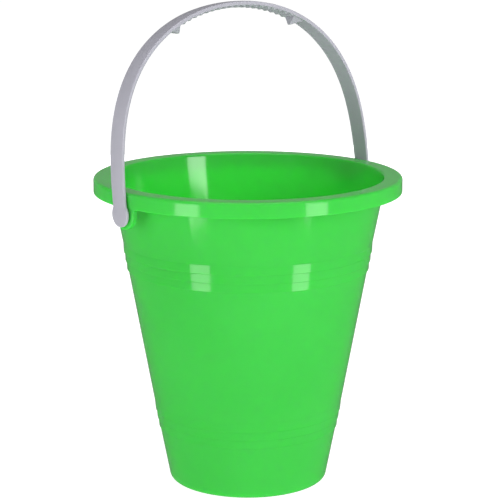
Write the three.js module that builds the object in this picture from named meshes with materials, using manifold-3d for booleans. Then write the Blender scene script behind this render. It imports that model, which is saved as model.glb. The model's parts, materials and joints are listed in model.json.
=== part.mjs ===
// Sand bucket: a tapered moulded bucket with a turned-down rim, two groups of stepped rings and
// two pierced ears, and a moulded strap handle that snaps into the ears and swings over the rim.
//
// Frame: millimetres, +Z up. The origin is the centre of the foot, on the surface the bucket stands
// on. +X runs along the handle's pivot axis and +Y is the side the handle leans to as modelled.

import * as THREE from 'three';
import { mergeVertices } from 'three/addons/utils/BufferGeometryUtils.js';
import Module from 'manifold-3d';

const wasm = await Module();
wasm.setup();

// Bucket body
const HEIGHT = 213;               // foot to the top of the rim
const RIM_RADIUS = 105;           // outside of the turned-down skirt
const RIM_EDGE_ROUND = 2;         // round between the rim's flat top and the skirt
const RIM_MOUTH_ROUND = 1.7;      // round between the rim's flat top and the inside wall
const SKIRT_DROP = 10.3;          // rim top to the skirt's lower edge
const SKIRT_WALL = 2;
const WALL = 1.8;
const FOOT_RADIUS = 55;           // outside wall carried down to the surface
const FOOT_ROUND = 5;             // round of the outside bottom corner
const FOOT_ROUND_STEPS = 4;
const FOOT_RING_WIDTH = 3.8;      // flat ring that the bucket stands on
const BASE_RECESS = 2.4;          // the floor's underside sits this far above the surface
const FLOOR_WALL = 2.2;
const FLOOR_ROUND = 4;            // round of the inside bottom corner
const ROUND_STEPS = 3;            // facets in each smaller round of the profile
const BUCKET_SEGMENTS = 64;

// Wall taper, as millimetres of radius gained for each millimetre of height
const TAPER_LOWER = 0.195;
const TAPER_MIDDLE = 0.1837;
const TAPER_UPPER = 0.199;

// The two groups of stepped rings: each ring is a small ledge and then a steep band above it
const RINGS_IN_GROUP = 3;
const LOWER_RINGS = { bottom: 37.8, pitch: 5.95, ledge: 0.55, lean: 0.6 };
const UPPER_RINGS = { bottom: 149.5, pitch: 6.05, ledge: 0.85, lean: 0.22 };

// Ears: flat tabs that hang from the rim, pierced for the handle's studs
const PIVOT_BELOW_RIM = 14.5;
const EAR_FACE = 105;             // outer face of each ear, measured from the bucket's axis
const EAR_WALL = 3.5;
const EAR_RADIUS = 10.2;
const EAR_HOLE_RADIUS = 3.6;
const EAR_TOP_BELOW_RIM = 1.5;    // the ear's top is buried in the rim's corner
const EAR_CURVE_SEGMENTS = 16;    // facets in the ear's round end, and in each half of its hole

// Handle
const STRAP_WIDTH = 14;
const STRAP_WALL_AT_GRIP = 3.2;
const STRAP_WALL_AT_PIVOT = 2.4;
const STRAP_EDGE_ROUND = 0.6;
const ARCH_HALF_SPAN = 108.4;     // pivot plane to the strap's outer face
const ARCH_RISE = 132.1;          // pivot axis to the top of the strap
const ARCH_POWER_ACROSS = 2.07;   // the strap's outer face is a superellipse with these two powers
const ARCH_POWER_UP = 2.9;
const ARCH_STEPS = 64;
const ARCH_LENGTH_DIVISIONS = 2000;
const LEG_STEPS = 14;
const HANDLE_LEAN = 7;            // degrees from upright, towards +Y
const PIVOT_DISC_RADIUS = 8.2;
const GRIP_RIBS = 19;
const GRIP_RIB_PITCH = 5.45;
const GRIP_RIB_DEPTH = 1.2;
const STOP_BASE = 11.3;           // length of each thumb stop along the strap
const STOP_TIP_INSET = 1.6;       // tip to the grip end of the base, along the strap
const STOP_HEIGHT = 5.7;
const STOP_TIP_WIDTH = 2.6;
const STOP_TIP_FLAT = 0.8;
const STOP_TAPER_OVERRUN = 1;     // the tapering cut runs this far past the tip
const BOSS_RADIUS = 5.2;          // boss that spaces the disc off the ear
const STUD_RADIUS = 3.2;
const STUD_HEAD_RADIUS = 4.4;
const STUD_HEAD_RIM = 0.8;        // straight rim of the snap head, before its lead-in cone
const STUD_HEAD_LENGTH = 2.4;
const STUD_TIP_INSET = 0.6;
const PIVOT_SEGMENTS = 32;
const RUNNING_GAP = 0.3;          // play between the handle and the ears

const PIVOT_Z = HEIGHT - PIVOT_BELOW_RIM;
const MERGE_DISTANCE = 1e-4;      // vertices closer than this are one vertex

const bucketPlastic = new THREE.MeshStandardMaterial({ color: 0x4fd556, roughness: 0.28, metalness: 0 });
const handlePlastic = new THREE.MeshStandardMaterial({ color: 0xc9c8d2, roughness: 0.4, metalness: 0 });

// --- joining and cutting --------------------------------------------------------------------

function solid(geometry) {
  const bare = geometry.clone();
  bare.deleteAttribute('normal');
  bare.deleteAttribute('uv');
  const merged = mergeVertices(bare, MERGE_DISTANCE);
  return new wasm.Manifold(new wasm.Mesh({
    numProp: 3,
    vertProperties: new Float32Array(merged.attributes.position.array),
    triVerts: new Uint32Array(merged.index.array),
  }));
}

function geometryOf(manifold) {
  const { vertProperties, triVerts } = manifold.getMesh();
  const geometry = new THREE.BufferGeometry();
  geometry.setAttribute('position', new THREE.BufferAttribute(vertProperties, 3));
  geometry.setIndex(new THREE.BufferAttribute(triVerts, 1));
  geometry.computeVertexNormals();
  return geometry;
}

// --- bucket body ----------------------------------------------------------------------------

function arcPoints(centreR, centreZ, radius, fromDegrees, toDegrees, steps) {
  const points = [];
  for (let i = 0; i <= steps; i += 1) {
    const angle = THREE.MathUtils.degToRad(fromDegrees + (toDegrees - fromDegrees) * i / steps);
    points.push([centreR + radius * Math.cos(angle), centreZ + radius * Math.sin(angle)]);
  }
  return points;
}

function ringSteps(radius, rings) {
  const points = [[radius, rings.bottom]];
  let r = radius;
  for (let i = 0; i < RINGS_IN_GROUP; i += 1) {
    const z = rings.bottom + rings.pitch * i;
    points.push([r + rings.ledge, z]);
    r += rings.ledge + rings.lean;
    points.push([r, z + rings.pitch]);
  }
  return points;
}

const ringsTop = (rings) => rings.bottom + rings.pitch * RINGS_IN_GROUP;
const last = (points) => points[points.length - 1];

// Radii of the outside wall where its slope changes
const lowerRings = ringSteps(FOOT_RADIUS + (LOWER_RINGS.bottom - FOOT_ROUND) * TAPER_LOWER, LOWER_RINGS);
const middleSpan = UPPER_RINGS.bottom - ringsTop(LOWER_RINGS);
const upperRings = ringSteps(last(lowerRings)[0] + middleSpan * TAPER_MIDDLE, UPPER_RINGS);
const wallRadiusAt = (z) => last(upperRings)[0] + (z - ringsTop(UPPER_RINGS)) * TAPER_UPPER;

function bucketProfile() {
  const flangeUnderside = HEIGHT - SKIRT_WALL;
  const skirtBottom = HEIGHT - SKIRT_DROP;
  const footRingInner = FOOT_RADIUS - FOOT_ROUND - FOOT_RING_WIDTH;
  const floorTop = BASE_RECESS + FLOOR_WALL;
  const floorRadius = FOOT_RADIUS - WALL;
  const mouthRoundCentre = wallRadiusAt(HEIGHT) - WALL + RIM_MOUTH_ROUND;
  return [
    [0, BASE_RECESS],
    [footRingInner - BASE_RECESS, BASE_RECESS],
    [footRingInner, 0],
    ...arcPoints(FOOT_RADIUS - FOOT_ROUND, FOOT_ROUND, FOOT_ROUND, -90, 0, FOOT_ROUND_STEPS),
    ...lowerRings,
    ...upperRings,
    [wallRadiusAt(flangeUnderside), flangeUnderside],
    [RIM_RADIUS - SKIRT_WALL, flangeUnderside],
    [RIM_RADIUS - SKIRT_WALL, skirtBottom],
    [RIM_RADIUS, skirtBottom],
    ...arcPoints(RIM_RADIUS - RIM_EDGE_ROUND, HEIGHT - RIM_EDGE_ROUND, RIM_EDGE_ROUND, 0, 90, ROUND_STEPS),
    ...arcPoints(mouthRoundCentre, HEIGHT - RIM_MOUTH_ROUND, RIM_MOUTH_ROUND, 90, 180, ROUND_STEPS),
    [last(upperRings)[0] - WALL, ringsTop(UPPER_RINGS)],
    [upperRings[0][0] - WALL, UPPER_RINGS.bottom],
    [last(lowerRings)[0] - WALL, ringsTop(LOWER_RINGS)],
    [lowerRings[0][0] - WALL, LOWER_RINGS.bottom],
    ...arcPoints(floorRadius - FLOOR_ROUND, floorTop + FLOOR_ROUND, FLOOR_ROUND, 0, -90, ROUND_STEPS),
    [0, floorTop],
  ];
}

function lathe(profile, segments) {
  const outline = profile.map(([r, z]) => new THREE.Vector2(r, z));
  return new THREE.LatheGeometry(outline, segments).rotateX(Math.PI / 2);
}

// A flat U-shaped tab with its round end down, its top buried in the rim, and its hole on the pivot
function ear(side) {
  const outline = new THREE.Shape();
  const topOfTab = PIVOT_BELOW_RIM - EAR_TOP_BELOW_RIM;
  outline.moveTo(-EAR_RADIUS, topOfTab);
  outline.lineTo(-EAR_RADIUS, 0);
  outline.absarc(0, 0, EAR_RADIUS, Math.PI, 2 * Math.PI, false);
  outline.lineTo(EAR_RADIUS, topOfTab);
  outline.closePath();
  const hole = new THREE.Path();
  hole.absarc(0, 0, EAR_HOLE_RADIUS, 0, 2 * Math.PI, true);
  outline.holes.push(hole);
  const tab = new THREE.ExtrudeGeometry(outline, {
    depth: EAR_WALL,
    bevelEnabled: false,
    curveSegments: EAR_CURVE_SEGMENTS,
  });
  tab.translate(0, 0, -EAR_WALL);
  tab.rotateX(Math.PI / 2);
  tab.rotateZ(Math.PI / 2);
  tab.translate(EAR_FACE, 0, PIVOT_Z);
  return side > 0 ? tab : tab.rotateZ(Math.PI);
}

function bucketBody() {
  let body = solid(lathe(bucketProfile(), BUCKET_SEGMENTS));
  for (const side of [-1, 1]) {
    body = body.add(solid(ear(side)));
  }
  return geometryOf(body);
}

// --- handle ---------------------------------------------------------------------------------
// The handle is built upright, with its pivot axis on X, and is then leaned about that axis.

// Outer face of the strap, from the -X pivot over the top to the +X pivot
class StrapArch extends THREE.Curve {
  getPoint(t, target = new THREE.Vector3()) {
    const angle = Math.PI * (1 - t);
    const c = Math.cos(angle);
    const s = Math.max(Math.sin(angle), 0);
    const across = Math.sign(c) * Math.abs(c) ** (2 / ARCH_POWER_ACROSS);
    return target.set(ARCH_HALF_SPAN * across, 0, ARCH_RISE * s ** (2 / ARCH_POWER_UP));
  }
}

const arch = new StrapArch();
arch.arcLengthDivisions = ARCH_LENGTH_DIVISIONS;
const archLength = arch.getLength();

// A place on the strap: `along` runs from the top of the arch towards +X, `depth` from the outer face in
function strapFrame(along, depth) {
  const fraction = 0.5 + along / archLength;
  const point = arch.getPointAt(fraction);
  const tangent = arch.getTangentAt(fraction);
  const inward = new THREE.Vector3(tangent.z, 0, -tangent.x);
  return { point: point.addScaledVector(inward, depth), tangent, inward };
}

function strapPoint(along, depth) {
  const { point } = strapFrame(along, depth);
  return new THREE.Vector2(point.x, point.z);
}

function spread(from, to, steps) {
  return Array.from({ length: steps + 1 }, (_, i) => from + (to - from) * i / steps);
}

const GRIP_HALF_LENGTH = GRIP_RIBS * GRIP_RIB_PITCH / 2;
const LEG_END = archLength / 2;

// The strap is thickest along the grip and thins towards the pivots
function strapWall(along) {
  const down = Math.max(Math.abs(along) - GRIP_HALF_LENGTH, 0) / (LEG_END - GRIP_HALF_LENGTH);
  return STRAP_WALL_AT_GRIP + (STRAP_WALL_AT_PIVOT - STRAP_WALL_AT_GRIP) * down;
}

function strap() {
  const innerPoint = (along) => strapPoint(along, strapWall(along));
  const inside = [
    ...spread(-LEG_END, -GRIP_HALF_LENGTH, LEG_STEPS).map(innerPoint),
    ...spread(-GRIP_HALF_LENGTH, GRIP_HALF_LENGTH, GRIP_RIBS * 2).slice(1, -1).map((along, i) => (
      strapPoint(along, STRAP_WALL_AT_GRIP + (i % 2 === 0 ? GRIP_RIB_DEPTH : 0)))),
    ...spread(GRIP_HALF_LENGTH, LEG_END, LEG_STEPS).map(innerPoint),
  ];
  const outside = spread(LEG_END, -LEG_END, ARCH_STEPS).map((along) => strapPoint(along, 0));
  const bar = new THREE.ExtrudeGeometry(new THREE.Shape([...inside, ...outside]), {
    depth: STRAP_WIDTH - 2 * STRAP_EDGE_ROUND,
    bevelThickness: STRAP_EDGE_ROUND,
    bevelSize: STRAP_EDGE_ROUND,
    bevelOffset: -STRAP_EDGE_ROUND,
    bevelSegments: 1,
  });
  return bar.translate(0, 0, STRAP_EDGE_ROUND - STRAP_WIDTH / 2).rotateX(Math.PI / 2);
}

// Disc, bearing boss, stud and snap head at one end of the strap, turned about the pivot axis
function pivotEnd(side) {
  const earBack = EAR_FACE - EAR_WALL;
  const discInner = ARCH_HALF_SPAN - STRAP_WALL_AT_PIVOT;
  const headFace = earBack - RUNNING_GAP;
  const headTip = headFace - STUD_HEAD_LENGTH;
  const turned = lathe([
    [0, headTip],
    [STUD_RADIUS - STUD_TIP_INSET, headTip],
    [STUD_HEAD_RADIUS, headFace - STUD_HEAD_RIM],
    [STUD_HEAD_RADIUS, headFace],
    [STUD_RADIUS, headFace],
    [STUD_RADIUS, EAR_FACE + RUNNING_GAP],
    [BOSS_RADIUS, EAR_FACE + RUNNING_GAP],
    [BOSS_RADIUS, discInner],
    [PIVOT_DISC_RADIUS - STRAP_EDGE_ROUND, discInner],
    [PIVOT_DISC_RADIUS, discInner + STRAP_EDGE_ROUND],
    [PIVOT_DISC_RADIUS, ARCH_HALF_SPAN - STRAP_EDGE_ROUND],
    [PIVOT_DISC_RADIUS - STRAP_EDGE_ROUND, ARCH_HALF_SPAN],
    [0, ARCH_HALF_SPAN],
  ], PIVOT_SEGMENTS);
  turned.rotateY(Math.PI / 2);
  return side > 0 ? turned : turned.rotateZ(Math.PI);
}

// Thumb stop under the strap: steep towards the grip, sloping away from it, and narrower at its tip.
// It is shaped in the strap's own frame: x along the strap, y across it and z into the loop.
function thumbStop(side) {
  const profile = new THREE.Shape([
    new THREE.Vector2(0, -STRAP_WALL_AT_GRIP / 2),
    new THREE.Vector2(STOP_BASE, -STRAP_WALL_AT_GRIP / 2),
    new THREE.Vector2(STOP_TIP_INSET + STOP_TIP_FLAT, STOP_HEIGHT),
    new THREE.Vector2(STOP_TIP_INSET, STOP_HEIGHT),
  ]);
  const profileBar = new THREE.ExtrudeGeometry(profile, { depth: STRAP_WIDTH, bevelEnabled: false });
  profileBar.translate(0, 0, -STRAP_WIDTH / 2).rotateX(Math.PI / 2);
  const baseHalf = STRAP_WIDTH / 2 - STRAP_EDGE_ROUND;
  const taperEnd = STOP_HEIGHT + STOP_TAPER_OVERRUN;
  const taper = new THREE.Shape([
    new THREE.Vector2(-baseHalf, -STRAP_WALL_AT_GRIP),
    new THREE.Vector2(baseHalf, -STRAP_WALL_AT_GRIP),
    new THREE.Vector2(STOP_TIP_WIDTH / 2, taperEnd),
    new THREE.Vector2(-STOP_TIP_WIDTH / 2, taperEnd),
  ]);
  const taperBar = new THREE.ExtrudeGeometry(taper, { depth: 2 * STOP_BASE, bevelEnabled: false });
  taperBar.translate(0, 0, -STOP_BASE / 2).rotateX(Math.PI / 2).rotateZ(Math.PI / 2);
  const wedge = geometryOf(solid(profileBar).intersect(solid(taperBar)));
  const { point, tangent, inward } = strapFrame(GRIP_HALF_LENGTH + STOP_BASE / 2, STRAP_WALL_AT_GRIP);
  const across = new THREE.Vector3().crossVectors(inward, tangent);
  wedge.translate(-STOP_BASE / 2, 0, 0);
  wedge.applyMatrix4(new THREE.Matrix4().makeBasis(tangent, across, inward).setPosition(point));
  return side > 0 ? wedge : wedge.rotateZ(Math.PI);
}

function bailHandle() {
  let handle = solid(strap());
  for (const side of [-1, 1]) {
    handle = handle.add(solid(pivotEnd(side))).add(solid(thumbStop(side)));
  }
  return geometryOf(handle);
}

// --- assembly -------------------------------------------------------------------------------

function part(name, geometry, material) {
  const mesh = new THREE.Mesh(geometry, material);
  mesh.name = name;
  return mesh;
}

const bucket = new THREE.Group();
bucket.add(part('bucket_body', bucketBody(), bucketPlastic));

const handle = part('bail_handle', bailHandle(), handlePlastic);
handle.position.z = PIVOT_Z;
handle.rotation.x = THREE.MathUtils.degToRad(-HANDLE_LEAN);
bucket.add(handle);

export default bucket;
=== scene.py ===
import json
import math

import bmesh
import bpy
import numpy as np
from mathutils import Matrix, Vector


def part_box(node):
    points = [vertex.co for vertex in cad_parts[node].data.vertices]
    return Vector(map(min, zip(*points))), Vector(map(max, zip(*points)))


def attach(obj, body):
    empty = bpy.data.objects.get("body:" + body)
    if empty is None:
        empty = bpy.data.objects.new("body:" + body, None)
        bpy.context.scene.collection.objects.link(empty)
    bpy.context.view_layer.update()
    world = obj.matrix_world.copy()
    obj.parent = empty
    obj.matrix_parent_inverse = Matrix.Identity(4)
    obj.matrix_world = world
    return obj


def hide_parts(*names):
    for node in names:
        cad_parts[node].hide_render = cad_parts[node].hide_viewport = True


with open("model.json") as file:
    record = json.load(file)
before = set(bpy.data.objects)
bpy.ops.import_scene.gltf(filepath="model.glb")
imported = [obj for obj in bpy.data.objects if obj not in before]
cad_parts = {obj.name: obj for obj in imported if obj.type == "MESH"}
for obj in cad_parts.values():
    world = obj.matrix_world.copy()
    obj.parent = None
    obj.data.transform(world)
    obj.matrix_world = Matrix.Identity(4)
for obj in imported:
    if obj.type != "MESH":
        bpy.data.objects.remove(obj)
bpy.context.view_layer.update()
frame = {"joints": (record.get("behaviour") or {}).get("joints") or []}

# ---------------------------------------------------------------------------------------------
# Sizes, in metres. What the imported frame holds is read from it; the rest are the moulding's own
# dimensions.
# ---------------------------------------------------------------------------------------------
MM = 0.001
SAME_PLACE = 1e-7                 # points closer than this are one point
CORNER_ANGLE = math.radians(32)   # faces that meet at more than this keep a sharp edge

bucket_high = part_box("bucket_body")[1]
handle_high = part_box("bail_handle")[1]
hinge = frame["joints"][0]
PIVOT_Z = hinge["pos_m"][2]

HEIGHT = bucket_high.z
RIM_RADIUS = bucket_high.x
SPAN = handle_high.x              # pivot plane to the strap's outer face

WALL = 1.8 * MM
SKIRT_DROP = 10.3 * MM
SKIRT_WALL = 2.0 * MM
FOOT_RADIUS = 55.0 * MM
FOOT_ROUND = 5.0 * MM
FOOT_CORNER_SHARE = 0.82          # radius of the foot's outer round, as a share of FOOT_ROUND
FOOT_RING_WIDTH = 3.8 * MM
FOOT_RING_ROUND = 0.5 * MM
BASE_RECESS = 2.4 * MM
BASE_ROUND = 1.2 * MM             # round where the recessed underside meets the foot ring's slope
FLOOR_WALL = 2.2 * MM
FLOOR_ROUND = 4.0 * MM
BEND_ROUND = 2.0 * MM             # round at each change of slope of the inside wall
FLANGE_ROOT_ROUND = 1.5 * MM      # hollow round between the wall and the rim's underside
SKIRT_ROOT_ROUND = 1.0 * MM       # hollow round between the rim's underside and the skirt
SKIRT_EDGE_ROUND = 0.5 * MM
RIM_EDGE_ROUND = 2.0 * MM
MOUTH_ROUND = 1.7 * MM
TAPER_LOWER = 0.195
TAPER_MIDDLE = 0.1837
TAPER_UPPER = 0.199
RINGS_IN_GROUP = 3
LOWER_RINGS = {"bottom": 37.8 * MM, "pitch": 5.95 * MM, "ledge": 0.55 * MM, "lean": 0.6 * MM}
UPPER_RINGS = {"bottom": 149.5 * MM, "pitch": 6.05 * MM, "ledge": 0.85 * MM, "lean": 0.22 * MM}
LEDGE_ROUND = 0.3 * MM
BUCKET_SEGMENTS = 256
SUPPORTED_RUN = 2.0 * MM          # straight runs longer than this get a point near each end
SUPPORT_MARGIN = 0.3 * MM

EAR_WALL = 3.5 * MM
EAR_RADIUS = 10.2 * MM
EAR_HOLE_RADIUS = 3.6 * MM
EAR_EDGE_ROUND = 0.5 * MM
EAR_ROOT_ROUND = 2.5 * MM         # round where the tab's sides run into the skirt's lower edge
EAR_SET_BACK = 0.04 * MM          # keeps the tab's face just inside the skirt's face
EAR_STEPS = 48
EAR_ROOT_STEPS = 8

STRAP_WIDTH = 13.9 * MM
STRAP_WIDTH_AT_PIVOT = 13.1 * MM
WIDTH_RUN = 60 * MM               # the strap narrows over this length above each pivot
STRAP_WALL_AT_GRIP = 3.2 * MM
STRAP_WALL_AT_PIVOT = 2.4 * MM
STRAP_EDGE_ROUND = 0.5 * MM
STRAP_CROWN = 0.6 * MM            # the outer face is this much lower at its edges than at its middle
ARCH_RISE = 132.1 * MM
ARCH_POWER_ACROSS = 2.07
ARCH_POWER_UP = 2.9
HANDLE_LEAN = math.radians(7)
DISC_RADIUS = 8.2 * MM
DISC_EDGE_ROUND = 0.7 * MM
DISC_EDGE_DROP = 0.3 * MM         # the disc's face is this far inside SPAN at its edge
DISC_CROWN = 0.1 * MM             # and this far outside it at its centre
PIVOT_SEGMENTS = 96
SHOULDER_ROUND = 3.0 * MM         # hollow round between the strap's side and the disc
STRAP_END_INSET = 0.1 * MM        # keeps the strap's round end just inside the disc
GRIP_RIBS = 19
RIB_PITCH = 5.45 * MM
RIB_DEPTH = 1.2 * MM
RIB_SHARPNESS = 1.3               # above 1 the ribs are narrower than the hollows between them
RIB_END_FADE = 1.1 * MM
STOP_BASE = 11.3 * MM
STOP_TIP_INSET = 1.6 * MM
STOP_TIP_FLAT = 0.8 * MM
STOP_HEIGHT = 5.7 * MM
STOP_TIP_WIDTH = 2.6 * MM
STOP_EDGE_ROUND = 0.5 * MM
BOSS_RADIUS = 5.2 * MM
STUD_RADIUS = 3.2 * MM
HEAD_RADIUS = 4.4 * MM
HEAD_RIM = 0.8 * MM
HEAD_LENGTH = 2.4 * MM
HEAD_TIP_INSET = 0.6 * MM
HEAD_TIP_ROUND = 0.5 * MM
HEAD_SHOULDER_ROUND = 0.3 * MM
STUD_CORNER_ROUND = 0.15 * MM
STUD_ROOT_ROUND = 0.1 * MM        # hollow round between the stud and the boss
RUNNING_GAP = 0.3 * MM

ARCH_TABLE_STEPS = 4000
TANGENT_REACH = 0.4 * MM          # a tangent joins the arch's points this far to either side
LEG_STATIONS = 61
END_RUN = 9 * MM                  # length of strap over the disc, where stations are closer
END_STATIONS = 19
STATIONS_PER_RIB = 10
ACROSS_STEPS = 14                 # steps across the strap's outer face, and across its inner face
CORNER_STEPS = 6


# ---------------------------------------------------------------------------------------------
# Mesh helpers
# ---------------------------------------------------------------------------------------------
def rounded(corners, steps=5):
    """An outline from (x, y, round) corners, each corner with a round turned into an arc."""
    points = []
    for i, (x, y, radius) in enumerate(corners):
        here = Vector((x, y))
        if radius <= 0 or i in (0, len(corners) - 1):
            points.append((x, y))
            continue
        back = (Vector(corners[i - 1][:2]) - here).normalized()
        ahead = (Vector(corners[i + 1][:2]) - here).normalized()
        half = back.angle(ahead) / 2
        reach = radius / math.tan(half)
        centre = here + (back + ahead).normalized() * (radius / math.sin(half))
        start = here + back * reach - centre
        sweep = start.angle_signed(here + ahead * reach - centre)
        for k in range(steps + 1):
            spoke = Matrix.Rotation(-sweep * k / steps, 2) @ start
            points.append(tuple(centre + spoke))
    return points


def supported(points):
    """Adds a point close to both ends of each long straight run, which keeps its shading flat."""
    outline = [points[0]]
    for start, end in zip(points, points[1:]):
        a = Vector(start)
        b = Vector(end)
        run = (b - a).length
        if run > SUPPORTED_RUN:
            step = (b - a) * (SUPPORT_MARGIN / run)
            outline += [tuple(a + step), tuple(b - step)]
        outline.append(end)
    return outline


def rounded_box(x0, x1, y0, y1, radius, steps=4):
    """Points round a rectangle with rounded corners, the first of them on its lower side."""
    points = []
    for cx, cy, start in ((x1 - radius, y0 + radius, -90), (x1 - radius, y1 - radius, 0),
                          (x0 + radius, y1 - radius, 90), (x0 + radius, y0 + radius, 180)):
        for k in range(steps + 1):
            angle = math.radians(start + 90 * k / steps)
            points.append((cx + radius * math.cos(angle), cy + radius * math.sin(angle)))
    return points


def mesh_object(name, vertices, faces):
    """A new object with its doubled points merged and its faces turned outwards."""
    mesh = bpy.data.meshes.new(name)
    mesh.from_pydata([tuple(v) for v in vertices], [], faces)
    obj = bpy.data.objects.new(name, mesh)
    bpy.context.scene.collection.objects.link(obj)
    work = bmesh.new()
    work.from_mesh(mesh)
    bmesh.ops.remove_doubles(work, verts=work.verts, dist=SAME_PLACE)
    bmesh.ops.recalc_face_normals(work, faces=work.faces)
    work.to_mesh(mesh)
    work.free()
    return obj


def turned(name, profile, segments):
    """A solid of revolution about Z from (radius, height) points that start and end on the axis."""
    vertices = []
    faces = []
    rows = []
    for radius, height in profile:
        if radius < SAME_PLACE:
            rows.append([len(vertices)])
            vertices.append((0, 0, height))
            continue
        rows.append(range(len(vertices), len(vertices) + segments))
        for k in range(segments):
            angle = 2 * math.pi * k / segments
            vertices.append((radius * math.cos(angle), radius * math.sin(angle), height))
    for low, high in zip(rows, rows[1:]):
        for k in range(segments):
            n = (k + 1) % segments
            ring = [low[k % len(low)], low[n % len(low)], high[n % len(high)], high[k % len(high)]]
            faces.append(list(dict.fromkeys(ring)))
    return mesh_object(name, vertices, faces)


def swept_rings(name, rings, closed=False):
    """A skin over equal rings of points, capped at both ends or joined end to end."""
    count = len(rings[0])
    vertices = [p for ring in rings for p in ring]
    faces = []
    spans = len(rings) if closed else len(rings) - 1
    for i in range(spans):
        a = i * count
        b = (i + 1) % len(rings) * count
        for k in range(count):
            n = (k + 1) % count
            faces.append([a + k, a + n, b + n, b + k])
    if not closed:
        faces.append(list(range(count)))
        faces.append([len(vertices) - 1 - k for k in range(count)])
    return mesh_object(name, vertices, faces)


def join(base, *others):
    """Unions the other solids into base and deletes them."""
    for other in others:
        union = base.modifiers.new("union", "BOOLEAN")
        union.operation = "UNION"
        union.solver = "EXACT"
        union.object = other
        bpy.context.view_layer.objects.active = base
        bpy.ops.object.modifier_apply(modifier=union.name)
        bpy.data.objects.remove(other)
    return base


def smooth(obj):
    """Shades the object smooth, apart from its corners."""
    obj.data.shade_smooth()
    obj.data.set_sharp_from_angle(angle=CORNER_ANGLE)


# ---------------------------------------------------------------------------------------------
# Bucket
# ---------------------------------------------------------------------------------------------
def ring_corners(radius, rings):
    """Corners of a group of stepped rings on the outside wall, going up, and the radius above them."""
    corners = []
    for i in range(RINGS_IN_GROUP):
        z = rings["bottom"] + rings["pitch"] * i
        corners.append((radius, z, LEDGE_ROUND))
        corners.append((radius + rings["ledge"], z, LEDGE_ROUND))
        radius += rings["ledge"] + rings["lean"]
    corners.append((radius, rings["bottom"] + rings["pitch"] * RINGS_IN_GROUP, LEDGE_ROUND))
    return corners, radius


def bucket_profile():
    """(radius, height, round) corners, from the underside's centre round the rim to the floor's centre."""
    lower_top = LOWER_RINGS["bottom"] + LOWER_RINGS["pitch"] * RINGS_IN_GROUP
    upper_top = UPPER_RINGS["bottom"] + UPPER_RINGS["pitch"] * RINGS_IN_GROUP
    r_lower = FOOT_RADIUS + (LOWER_RINGS["bottom"] - FOOT_ROUND) * TAPER_LOWER
    lower, r_lower_top = ring_corners(r_lower, LOWER_RINGS)
    r_upper = r_lower_top + (UPPER_RINGS["bottom"] - lower_top) * TAPER_MIDDLE
    upper, r_upper_top = ring_corners(r_upper, UPPER_RINGS)

    def wall_at(z):
        return r_upper_top + (z - upper_top) * TAPER_UPPER

    flange_under = HEIGHT - SKIRT_WALL
    skirt_bottom = HEIGHT - SKIRT_DROP
    ring_inner = FOOT_RADIUS - FOOT_ROUND - FOOT_RING_WIDTH
    floor_top = BASE_RECESS + FLOOR_WALL
    foot_corner = FOOT_RADIUS - FOOT_ROUND * TAPER_LOWER
    return [
        (0, BASE_RECESS, 0),
        (ring_inner - BASE_RECESS, BASE_RECESS, BASE_ROUND),
        (ring_inner, 0, FOOT_RING_ROUND),
        (foot_corner, 0, FOOT_ROUND * FOOT_CORNER_SHARE),
        *lower,
        *upper,
        (wall_at(flange_under), flange_under, FLANGE_ROOT_ROUND),
        (RIM_RADIUS - SKIRT_WALL, flange_under, SKIRT_ROOT_ROUND),
        (RIM_RADIUS - SKIRT_WALL, skirt_bottom, SKIRT_EDGE_ROUND),
        (RIM_RADIUS, skirt_bottom, SKIRT_EDGE_ROUND),
        (RIM_RADIUS, HEIGHT, RIM_EDGE_ROUND),
        (wall_at(HEIGHT) - WALL, HEIGHT, MOUTH_ROUND),
        (r_upper_top - WALL, upper_top, BEND_ROUND),
        (r_upper - WALL, UPPER_RINGS["bottom"], BEND_ROUND),
        (r_lower_top - WALL, lower_top, BEND_ROUND),
        (r_lower - WALL, LOWER_RINGS["bottom"], BEND_ROUND),
        (FOOT_RADIUS - WALL, floor_top, FLOOR_ROUND),
        (0, floor_top, 0),
    ]


def ear(side):
    """A pierced tab: a rounded section carried round the stud hole, out to the tab's outline."""
    skirt_edge = (HEIGHT - PIVOT_Z) - SKIRT_DROP
    top = HEIGHT - PIVOT_Z - SKIRT_WALL / 2
    outline = []
    for k in range(EAR_STEPS + 1):
        angle = math.pi + math.pi * k / EAR_STEPS
        outline.append((EAR_RADIUS * math.cos(angle), EAR_RADIUS * math.sin(angle)))
    flare = EAR_RADIUS + EAR_ROOT_ROUND
    right = []
    for k in range(EAR_ROOT_STEPS + 1):
        angle = math.pi - math.pi / 2 * k / EAR_ROOT_STEPS
        right.append((flare + EAR_ROOT_ROUND * math.cos(angle),
                      skirt_edge - EAR_ROOT_ROUND + EAR_ROOT_ROUND * math.sin(angle)))
    right.append((flare, top))
    outline += right + [(x * flare, top) for x in (0.5, 0, -0.5)] + [(-x, z) for x, z in reversed(right)]
    rings = []
    for y, z in outline:
        reach = math.hypot(y, z)
        out = Vector((y, z)) / reach
        section = rounded_box(EAR_HOLE_RADIUS, reach, -EAR_WALL, 0, EAR_EDGE_ROUND)
        ring = []
        for r, depth in section:
            py = out.x * r
            pz = out.y * r
            bulge = math.sqrt((RIM_RADIUS - EAR_SET_BACK) ** 2 - py ** 2)
            ring.append((side * (bulge + depth), side * py, PIVOT_Z + pz))
        rings.append(ring)
    return swept_rings("ear", rings, closed=True)


def make_bucket():
    shell = turned("bucket", supported(rounded(bucket_profile())), BUCKET_SEGMENTS)
    join(shell, ear(1), ear(-1))
    smooth(shell)
    return shell


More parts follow.
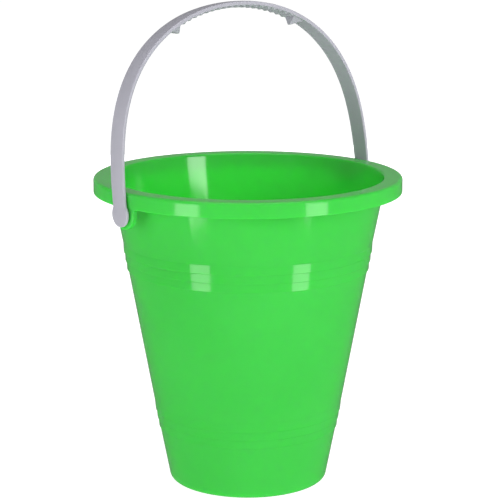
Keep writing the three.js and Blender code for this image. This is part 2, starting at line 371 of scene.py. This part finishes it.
# ---------------------------------------------------------------------------------------------
# Handle, built upright about the pivot axis and then leaned
# ---------------------------------------------------------------------------------------------
def arch_table():
    """The strap's outer face from the -X pivot to the +X pivot: distance from its top, x, z."""
    angle = np.linspace(math.pi, 0, ARCH_TABLE_STEPS + 1)
    c = np.cos(angle)
    x = SPAN * np.sign(c) * np.abs(c) ** (2 / ARCH_POWER_ACROSS)
    z = ARCH_RISE * np.clip(np.sin(angle), 0, None) ** (2 / ARCH_POWER_UP)
    travelled = np.concatenate([[0], np.cumsum(np.hypot(np.diff(x), np.diff(z)))])
    return travelled - travelled[-1] / 2, x, z


ARCH_S, ARCH_X, ARCH_Z = arch_table()
ARCH_HALF = ARCH_S[-1]
GRIP_HALF = GRIP_RIBS * RIB_PITCH / 2


def arch_frame(s):
    """Point of the outer face, tangent and inward normal at a distance from the top."""
    lo = max(s - TANGENT_REACH, -ARCH_HALF)
    hi = min(s + TANGENT_REACH, ARCH_HALF)
    point = Vector((np.interp(s, ARCH_S, ARCH_X), 0, np.interp(s, ARCH_S, ARCH_Z)))
    tangent = Vector((np.interp(hi, ARCH_S, ARCH_X) - np.interp(lo, ARCH_S, ARCH_X), 0,
                      np.interp(hi, ARCH_S, ARCH_Z) - np.interp(lo, ARCH_S, ARCH_Z))).normalized()
    return point, tangent, Vector((tangent.z, 0, -tangent.x))


def strap_half_width(s, z):
    """Half the strap's width: it narrows down each leg and swells into the disc at the bottom."""
    up = min((ARCH_HALF - abs(s)) / WIDTH_RUN, 1)
    half = (STRAP_WIDTH_AT_PIVOT + (STRAP_WIDTH - STRAP_WIDTH_AT_PIVOT) * up * up * (3 - 2 * up)) / 2
    centre_y = half + SHOULDER_ROUND
    centre_z = math.sqrt((DISC_RADIUS + SHOULDER_ROUND) ** 2 - centre_y ** 2)
    meet_z = centre_z * DISC_RADIUS / (DISC_RADIUS + SHOULDER_ROUND)
    if z >= centre_z:
        return half
    if z >= meet_z:
        return centre_y - math.sqrt(SHOULDER_ROUND ** 2 - (z - centre_z) ** 2)
    return math.sqrt(DISC_RADIUS ** 2 - z ** 2) - STRAP_END_INSET


def strap_wall(s):
    """The strap is thickest along the grip and thins towards the pivots."""
    down = max(abs(s) - GRIP_HALF, 0) / (ARCH_HALF - GRIP_HALF)
    return STRAP_WALL_AT_GRIP + (STRAP_WALL_AT_PIVOT - STRAP_WALL_AT_GRIP) * down


def rib(s, y):
    """Extra depth of the strap's inner face: round ribs across the grip that fade out at its edges."""
    if abs(s) > GRIP_HALF:
        return 0.0
    wave = 0.5 - 0.5 * math.cos(2 * math.pi * (s + GRIP_HALF) / RIB_PITCH)
    edge = (STRAP_WIDTH / 2 - STRAP_EDGE_ROUND - abs(y)) / RIB_END_FADE
    edge = min(max(edge, 0.0), 1.0)
    return RIB_DEPTH * wave ** RIB_SHARPNESS * edge * edge * (3 - 2 * edge)


def edge_round(y, depth, start, first):
    """Points of a quarter round from a start angle in degrees, from step first to the last but one."""
    points = []
    for k in range(first, CORNER_STEPS):
        angle = math.radians(start + 90 * k / CORNER_STEPS)
        points.append((y + STRAP_EDGE_ROUND * math.cos(angle), depth + STRAP_EDGE_ROUND * math.sin(angle)))
    return points


def strap_section(s, half):
    """Points (y, depth) round the strap at one station, crowned outside and rounded at its edges."""
    flat = half - STRAP_EDGE_ROUND
    wall = strap_wall(s)
    outer = []
    inner = []
    for k in range(ACROSS_STEPS + 1):
        y = flat * (2 * k / ACROSS_STEPS - 1)
        outer.append((y, STRAP_CROWN * (y / flat) ** 2))
        y = flat * (1 - 2 * k / ACROSS_STEPS)
        inner.append((y, wall + rib(s, y)))
    outer_centre = STRAP_CROWN + STRAP_EDGE_ROUND
    inner_centre = wall - STRAP_EDGE_ROUND
    return [
        *outer,
        *edge_round(flat, outer_centre, -90, 1),
        *edge_round(flat, inner_centre, 0, 0),
        *inner,
        *edge_round(-flat, inner_centre, 90, 1),
        *edge_round(-flat, outer_centre, 180, 0),
    ]


def strap():
    """The whole strap as one skin over its stations, which are closest along the ribs and the discs."""
    leg = np.linspace(GRIP_HALF, ARCH_HALF, LEG_STATIONS)
    end = ARCH_HALF - np.linspace(END_RUN, 0, END_STATIONS)
    leg = np.union1d(leg[leg < ARCH_HALF - END_RUN], end)
    grip = np.linspace(-GRIP_HALF, GRIP_HALF, GRIP_RIBS * STATIONS_PER_RIB + 1)
    stations = np.concatenate([-leg[::-1], grip[1:-1], leg])
    rings = []
    for s in stations:
        point, tangent, inward = arch_frame(s)
        half = strap_half_width(s, point.z)
        rings.append([point + inward * depth + Vector((0, y, 0)) for y, depth in strap_section(s, half)])
    return swept_rings("strap", rings)


def pivot_end(side):
    """Disc, boss, stud and snap head, turned about the pivot axis."""
    disc_inner = SPAN - STRAP_WALL_AT_PIVOT
    head_face = RIM_RADIUS - EAR_WALL - RUNNING_GAP
    boss_face = RIM_RADIUS + RUNNING_GAP
    corners = [
        (0, head_face - HEAD_LENGTH, 0),
        (STUD_RADIUS - HEAD_TIP_INSET, head_face - HEAD_LENGTH, HEAD_TIP_ROUND),
        (HEAD_RADIUS, head_face - HEAD_RIM, HEAD_SHOULDER_ROUND),
        (HEAD_RADIUS, head_face, STUD_CORNER_ROUND),
        (STUD_RADIUS, head_face, STUD_CORNER_ROUND),
        (STUD_RADIUS, boss_face, STUD_ROOT_ROUND),
        (BOSS_RADIUS, boss_face, STUD_CORNER_ROUND),
        (BOSS_RADIUS, disc_inner, STUD_CORNER_ROUND),
        (DISC_RADIUS, disc_inner, DISC_EDGE_ROUND),
        (DISC_RADIUS, SPAN - DISC_EDGE_DROP, DISC_EDGE_ROUND),
        (0, SPAN + DISC_CROWN, 0),
    ]
    end = turned("pivot_end", supported(rounded(corners)), PIVOT_SEGMENTS)
    end.data.transform(Matrix.Rotation(side * math.pi / 2, 4, "Y"))
    return end


def thumb_stop(side):
    """A stop under the strap, steep towards the grip and narrowing to its tip."""
    base_half = STRAP_WIDTH / 2 - STRAP_EDGE_ROUND
    sunk = -STRAP_WALL_AT_GRIP / 2
    tip_half = STOP_TIP_WIDTH / 2
    tip_start = STOP_TIP_INSET
    tip_end = STOP_TIP_INSET + STOP_TIP_FLAT
    base = [(0, -base_half), (STOP_BASE, -base_half), (STOP_BASE, base_half), (0, base_half)]
    tip = [(tip_start, -tip_half), (tip_end, -tip_half), (tip_end, tip_half), (tip_start, tip_half)]
    point, tangent, inward = arch_frame(GRIP_HALF + STOP_BASE / 2)
    foot = point + inward * STRAP_WALL_AT_GRIP - tangent * (STOP_BASE / 2)
    vertices = []
    for outline, depth in ((base, sunk), (tip, STOP_HEIGHT)):
        for along, y in outline:
            vertices.append(foot + tangent * along + inward * depth + Vector((0, y, 0)))
    faces = [[3, 2, 1, 0], [4, 5, 6, 7], [0, 1, 5, 4], [1, 2, 6, 5], [2, 3, 7, 6], [3, 0, 4, 7]]
    wedge = mesh_object("thumb_stop", vertices, faces)
    work = bmesh.new()
    work.from_mesh(wedge.data)
    bmesh.ops.bevel(work, geom=list(work.edges), offset=STOP_EDGE_ROUND, segments=4, profile=0.5,
                    affect="EDGES")
    work.to_mesh(wedge.data)
    work.free()
    if side < 0:
        wedge.data.transform(Matrix.Rotation(math.pi, 4, "Z"))
    return wedge


def make_handle():
    bar = strap()
    bar.name = "handle"
    join(bar, thumb_stop(1), thumb_stop(-1), pivot_end(1), pivot_end(-1))
    bar.data.transform(Matrix.Translation((0, 0, PIVOT_Z)) @ Matrix.Rotation(-HANDLE_LEAN, 4, "X"))
    smooth(bar)
    return bar


# ---------------------------------------------------------------------------------------------
# Materials
# ---------------------------------------------------------------------------------------------
class Nodes:
    """Short spellings for building a node tree."""

    def __init__(self, name):
        self.material = bpy.data.materials.new(name)
        self.material.use_nodes = True
        self.tree = self.material.node_tree
        self.shader = self.tree.nodes["Principled BSDF"]
        coordinates = self.tree.nodes.new("ShaderNodeTexCoord")
        self.place = coordinates.outputs["Object"]

    def link(self, source, target):
        self.tree.links.new(source, target)

    def noise(self, scale, detail, stretch=None):
        """Noise of a scale per metre, or of a different scale along each axis with stretch."""
        source = self.place
        if stretch:
            mapping = self.tree.nodes.new("ShaderNodeMapping")
            mapping.inputs["Scale"].default_value = stretch
            self.link(self.place, mapping.inputs["Vector"])
            source = mapping.outputs["Vector"]
        node = self.tree.nodes.new("ShaderNodeTexNoise")
        node.inputs["Scale"].default_value = scale
        node.inputs["Detail"].default_value = detail
        self.link(source, node.inputs["Vector"])
        return node.outputs["Fac"]

    def ramp(self, source, low, high, start, end):
        """Maps source from low..high to start..end, clamped."""
        node = self.tree.nodes.new("ShaderNodeMapRange")
        node.inputs["From Min"].default_value = low
        node.inputs["From Max"].default_value = high
        node.inputs["To Min"].default_value = start
        node.inputs["To Max"].default_value = end
        self.link(source, node.inputs["Value"])
        return node.outputs["Result"]

    def mix(self, factor, first, second):
        """Goes from the first colour to the second with factor."""
        node = self.tree.nodes.new("ShaderNodeMix")
        node.data_type = "RGBA"
        self.link(factor, node.inputs["Factor"])
        node.inputs["A"].default_value = (*first, 1)
        node.inputs["B"].default_value = (*second, 1)
        return node.outputs["Result"]

    def bump(self, height, distance, normal=None):
        """Raises the surface by height times distance, on top of an earlier bump's normal."""
        node = self.tree.nodes.new("ShaderNodeBump")
        node.inputs["Distance"].default_value = distance
        self.link(height, node.inputs["Height"])
        if normal:
            self.link(normal, node.inputs["Normal"])
        return node.outputs["Normal"]


CLOUD_SCALE = 14
SCUFF_SCALE = 160
PEEL_SCALE = 700
PEEL_DEPTH = 0.006 * MM
POLISH_SCALES = (420, 420, 9)     # fine across the draw and long up it
POLISH_DEPTH = 0.012 * MM
PLASTIC_IOR = 1.49
SCATTER_SCALE = 4 * MM


def moulded_plastic(name, colour, shade, roughness, scatter, scatter_reach):
    """Injection-moulded polypropylene: cloudy tint, polish lines up the draw and a faint orange peel.

    roughness is the range from polished to scuffed, scatter the share of light that goes into the
    plastic and scatter_reach how far its red, green and blue travel, in steps of SCATTER_SCALE.
    """
    nodes = Nodes(name)
    shader = nodes.shader
    polished, scuffed = roughness
    cloud = nodes.ramp(nodes.noise(CLOUD_SCALE, 3), 0.35, 0.65, 0, 1)
    nodes.link(nodes.mix(cloud, colour, shade), shader.inputs["Base Color"])
    polish = nodes.noise(1, 2, stretch=POLISH_SCALES)
    scuff = nodes.noise(SCUFF_SCALE, 4)
    nodes.link(nodes.ramp(scuff, 0.3, 0.75, polished, scuffed), shader.inputs["Roughness"])
    peel = nodes.bump(nodes.noise(PEEL_SCALE, 1), PEEL_DEPTH)
    nodes.link(nodes.bump(polish, POLISH_DEPTH, peel), shader.inputs["Normal"])
    shader.inputs["IOR"].default_value = PLASTIC_IOR
    shader.inputs["Subsurface Weight"].default_value = scatter
    shader.inputs["Subsurface Radius"].default_value = scatter_reach
    shader.inputs["Subsurface Scale"].default_value = SCATTER_SCALE
    return nodes.material


green = moulded_plastic("bucket_green", colour=(0.055, 0.55, 0.070), shade=(0.060, 0.58, 0.076),
                        roughness=(0.07, 0.12), scatter=0.8, scatter_reach=(0.5, 2.0, 0.25))
white = moulded_plastic("handle_white", colour=(0.44, 0.435, 0.49), shade=(0.455, 0.45, 0.51),
                        roughness=(0.3, 0.42), scatter=0.2, scatter_reach=(1.0, 1.0, 1.0))

# ---------------------------------------------------------------------------------------------
# Pieces on their bodies
# ---------------------------------------------------------------------------------------------
bucket = make_bucket()
bucket.data.materials.append(green)
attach(bucket, "bucket")
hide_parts("bucket_body")

handle = make_handle()
handle.data.materials.append(white)
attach(handle, "handle")
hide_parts("bail_handle")


# ---------------------------------------------------------------------------------------------
# Stage, light and camera
# ---------------------------------------------------------------------------------------------
VIEW_AZIMUTH = -39.5              # degrees round from -Y, positive towards +X, where the camera stands
CAMERA_DISTANCE = 1.305           # from the bucket's axis
CAMERA_HEIGHT = 0.439
CAMERA_PITCH = math.radians(12.04)
CAMERA_SHIFT = 0.0014             # the camera aims this far to the right of the axis
CAMERA_LENS = 140.06              # mm, on a 36 mm sensor
CAMERA_SENSOR = 36
FLOOR_SIZE = 12.0                 # the white floor's radius
FLOOR_DEPTH = 1 * MM
FLOOR_SEGMENTS = 96
FLOOR_GREY = 0.3
FLOOR_GLOW = 0.97
WORLD_STRENGTH = 0.18


def make_floor():
    """A glowing white disc, wide enough to fill the picture, that the glossy plastic doesn't mirror."""
    edge = [(0, -FLOOR_DEPTH), (FLOOR_SIZE, -FLOOR_DEPTH), (FLOOR_SIZE, 0), (0, 0)]
    floor = turned("floor", edge, FLOOR_SEGMENTS)
    surface = bpy.data.materials.new("floor_white")
    surface.use_nodes = True
    shader = surface.node_tree.nodes["Principled BSDF"]
    shader.inputs["Base Color"].default_value = (FLOOR_GREY, FLOOR_GREY, FLOOR_GREY, 1)
    shader.inputs["Roughness"].default_value = 1.0
    shader.inputs["Emission Color"].default_value = (1, 1, 1, 1)
    shader.inputs["Emission Strength"].default_value = FLOOR_GLOW
    floor.data.materials.append(surface)
    floor.visible_glossy = False


def soft_box(name, turn, distance, bottom, top, width, radiance, rise=0, reflected=True):
    """A rectangular light panel, turned from the camera's side by an angle and facing the axis.

    Angles are in degrees and sizes in metres. rise lifts the panel above the level. The camera never
    sees a panel, and the glossy plastic mirrors it only if it is reflected.
    """
    light = bpy.data.lights.new(name, "AREA")
    light.shape = "RECTANGLE"
    light.size = width
    light.size_y = top - bottom
    light.energy = radiance * math.pi * width * (top - bottom)
    panel = bpy.data.objects.new(name, light)
    a = math.radians(VIEW_AZIMUTH + turn)
    e = math.radians(rise)
    middle = (bottom + top) / 2
    back = Vector((math.sin(a) * math.cos(e), -math.cos(a) * math.cos(e), math.sin(e)))
    panel.location = Vector((0, 0, middle)) + back * distance
    panel.rotation_euler = (-back).to_track_quat("-Z", "Y").to_euler()
    panel.visible_camera = False
    panel.visible_glossy = reflected
    bpy.context.scene.collection.objects.link(panel)


make_floor()
soft_box("left_strip", turn=-42.4, distance=0.85, bottom=-0.283, top=0.21, width=0.27, radiance=4.0)
soft_box("right_strip", turn=48.2, distance=0.87, bottom=-0.27, top=0.20, width=0.25, radiance=3.9)
soft_box("right_window", turn=48.9, distance=0.87, bottom=0.367, top=0.50, width=0.27, radiance=7.8)
soft_box("key", turn=52, distance=2.0, bottom=-0.5, top=0.7, width=1.8, radiance=2.4,
         rise=24, reflected=False)
soft_box("fill", turn=-38, distance=2.2, bottom=-0.3, top=0.7, width=1.8, radiance=2.3,
         rise=12, reflected=False)
soft_box("overhead", turn=0, distance=1.9, bottom=-0.7, top=0.9, width=1.6, radiance=1.3, rise=88)
soft_box("backlight", turn=-165, distance=1.4, bottom=-0.6, top=0.4, width=2.0, radiance=3.8,
         rise=4, reflected=False)
soft_box("backdrop", turn=180, distance=2.6, bottom=-0.4, top=1.4, width=4.0, radiance=0.10, rise=8)

world = bpy.data.worlds.new("studio")
world.use_nodes = True
world.node_tree.nodes["Background"].inputs["Color"].default_value = (1, 1, 1, 1)
world.node_tree.nodes["Background"].inputs["Strength"].default_value = WORLD_STRENGTH
bpy.context.scene.world = world
bpy.context.scene.view_settings.view_transform = "Standard"


def make_camera():
    """A long lens a little over a metre from the bucket's axis, higher than the handle and looking down."""
    azimuth = math.radians(VIEW_AZIMUTH)
    back = Vector((math.sin(azimuth), -math.cos(azimuth), 0))
    right = Vector((math.cos(azimuth), math.sin(azimuth), 0))
    lens = bpy.data.cameras.new("camera")
    lens.sensor_width = CAMERA_SENSOR
    lens.lens = CAMERA_LENS
    camera = bpy.data.objects.new("camera", lens)
    camera.location = back * CAMERA_DISTANCE + Vector((0, 0, CAMERA_HEIGHT))
    aim_height = CAMERA_HEIGHT - CAMERA_DISTANCE * math.tan(CAMERA_PITCH)
    aim = Vector((0, 0, aim_height)) + right * CAMERA_SHIFT
    look = (aim - camera.location).normalized()
    camera.rotation_mode = "QUATERNION"
    camera.rotation_quaternion = look.to_track_quat("-Z", "Y")
    bpy.context.scene.collection.objects.link(camera)
    bpy.context.scene.camera = camera


make_camera()
